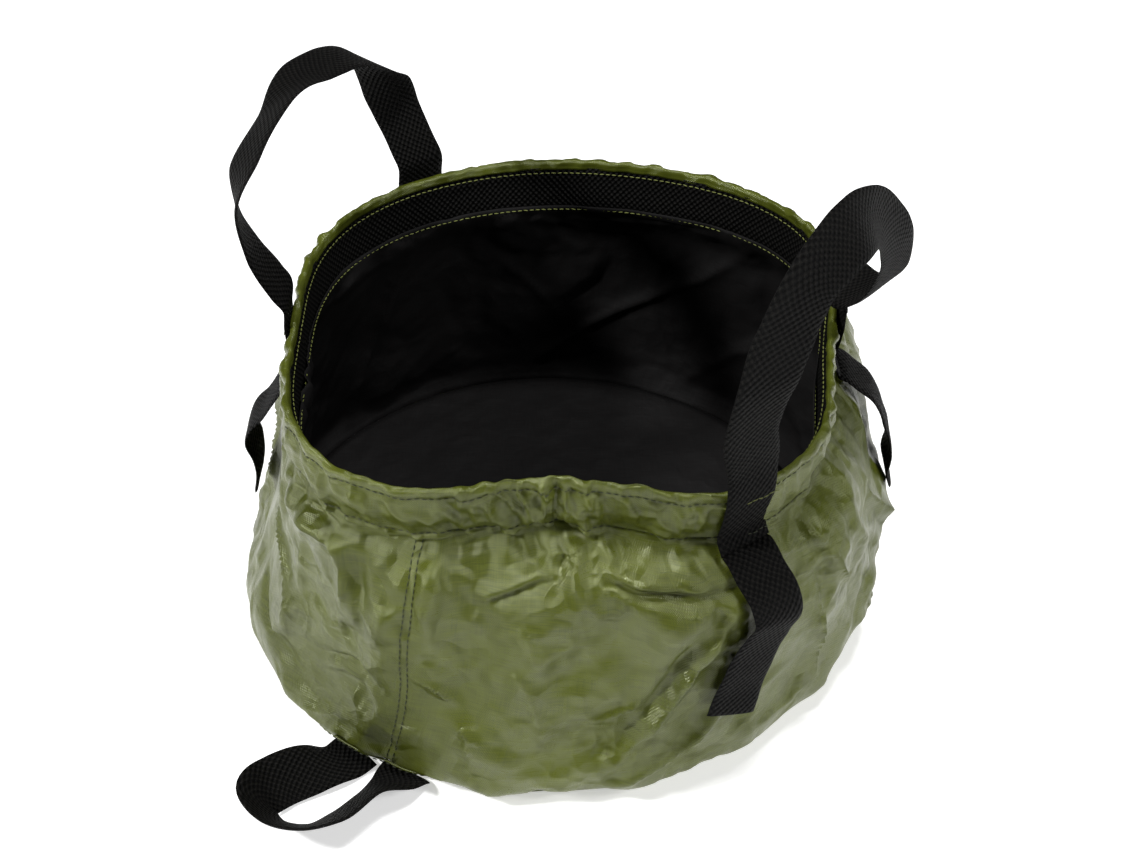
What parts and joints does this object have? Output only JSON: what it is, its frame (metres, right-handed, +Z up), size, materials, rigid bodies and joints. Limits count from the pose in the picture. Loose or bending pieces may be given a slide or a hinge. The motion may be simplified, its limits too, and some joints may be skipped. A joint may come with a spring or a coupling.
{
  "type": "fruit picking bag",
  "caption": "Soft round open picking bag of coated nylon with a black lining, a webbing mouth band, two webbing carrying handles with free tails and a webbing pull loop at the base.",
  "frame": {"origin": "centre of the base panel's flat underside, where the bag stands", "axes": "+Z up through the open mouth, +Y to the back of the bag, +X to the right, with the pull loop at the front left"},
  "size_m": [0.3165, 0.3344, 0.269],
  "materials": {
    "outer_nylon": "olive green coated nylon taffeta with a satin sheen",
    "lining": "black coated nylon, soft sheen",
    "webbing": "black basket-weave polypropylene webbing, matt",
    "thread": "yellow-green polyester sewing thread"
  },
  "bodies": {
    "base": {"base_panel": "outer_nylon", "base_lining": "lining", "base_seam_binding": "outer_nylon", "outer_panel_right": "outer_nylon", "outer_panel_left": "outer_nylon", "lining_panel_right": "lining", "lining_panel_left": "lining", "side_seam_front": "outer_nylon", "side_seam_rear": "outer_nylon", "loop_tab_left": "webbing", "loop_tab_right": "webbing"},
    "rim": {"rim_hem": "outer_nylon", "rim_webbing": "webbing", "handle_tab_front_right": "webbing", "stitch_upper_front_right": "thread", "stitch_lower_front_right": "thread", "handle_tab_rear_right": "webbing", "stitch_upper_rear_right": "thread", "stitch_lower_rear_right": "thread", "handle_tab_rear_left": "webbing", "stitch_upper_rear_left": "thread", "stitch_lower_rear_left": "thread", "handle_tab_front_left": "webbing", "stitch_upper_front_left": "thread", "stitch_lower_front_left": "thread"},
    "handle_right": {"handle_right": "webbing"},
    "handle_left": {"handle_left": "webbing"},
    "tail_front_right": {"tail_front_right": "webbing"},
    "tail_rear_right": {"tail_rear_right": "webbing"},
    "tail_rear_left": {"tail_rear_left": "webbing"},
    "tail_front_left": {"tail_front_left": "webbing"},
    "base_loop": {"base_loop": "webbing"}
  },
  "joints": [
    {"name": "collapse", "type": "slide", "parent": "base", "child": "rim", "axis": [0, 0, -1], "range_m": [0, 0.095], "deforming": ["outer_panel_right", "outer_panel_left", "lining_panel_right", "lining_panel_left", "side_seam_front", "side_seam_rear"]},
    {"name": "handle_right_swing", "type": "hinge", "parent": "rim", "child": "handle_right", "pos_m": [0.11074, -0.04631, 0.1585], "axis": [0.3825, 0.924, 0], "range_deg": [-70, 70]},
    {"name": "handle_left_swing", "type": "hinge", "parent": "rim", "child": "handle_left", "pos_m": [-0.09004, 0.06702, 0.1585], "axis": [-0.4266, -0.9044, 0], "range_deg": [-70, 70]},
    {"name": "tail_front_right_swing", "type": "hinge", "parent": "rim", "child": "tail_front_right", "pos_m": [0.08768, -0.11135, 0.1205], "axis": [-0.8434, -0.5373, 0], "range_deg": [0, 79]},
    {"name": "tail_rear_right_swing", "type": "hinge", "parent": "rim", "child": "tail_rear_right", "pos_m": [0.1395, 0.01197, 0.1205], "axis": [0.0175, -0.9998, 0], "range_deg": [0, 79]},
    {"name": "tail_rear_left_swing", "type": "hinge", "parent": "rim", "child": "tail_rear_left", "pos_m": [-0.06463, 0.12331, 0.1205], "axis": [0.8339, 0.5519, 0], "range_deg": [0, 79]},
    {"name": "tail_front_left_swing", "type": "hinge", "parent": "rim", "child": "tail_front_left", "pos_m": [-0.11911, 0.00859, 0.1205], "axis": [-0.0087, 1, 0], "range_deg": [0, 79]},
    {"name": "base_loop_lift", "type": "hinge", "parent": "base", "child": "base_loop", "pos_m": [-0.07775, -0.13467, 0.0014], "axis": [-0.866, 0.5, 0], "range_deg": [0, 60]}
  ],
  "couplings": [
    {"joint": "tail_front_right_swing", "follows": "collapse", "rad_per_m": 14.33},
    {"joint": "tail_rear_right_swing", "follows": "collapse", "rad_per_m": 14.33},
    {"joint": "tail_rear_left_swing", "follows": "collapse", "rad_per_m": 14.33},
    {"joint": "tail_front_left_swing", "follows": "collapse", "rad_per_m": 14.33}
  ]
}
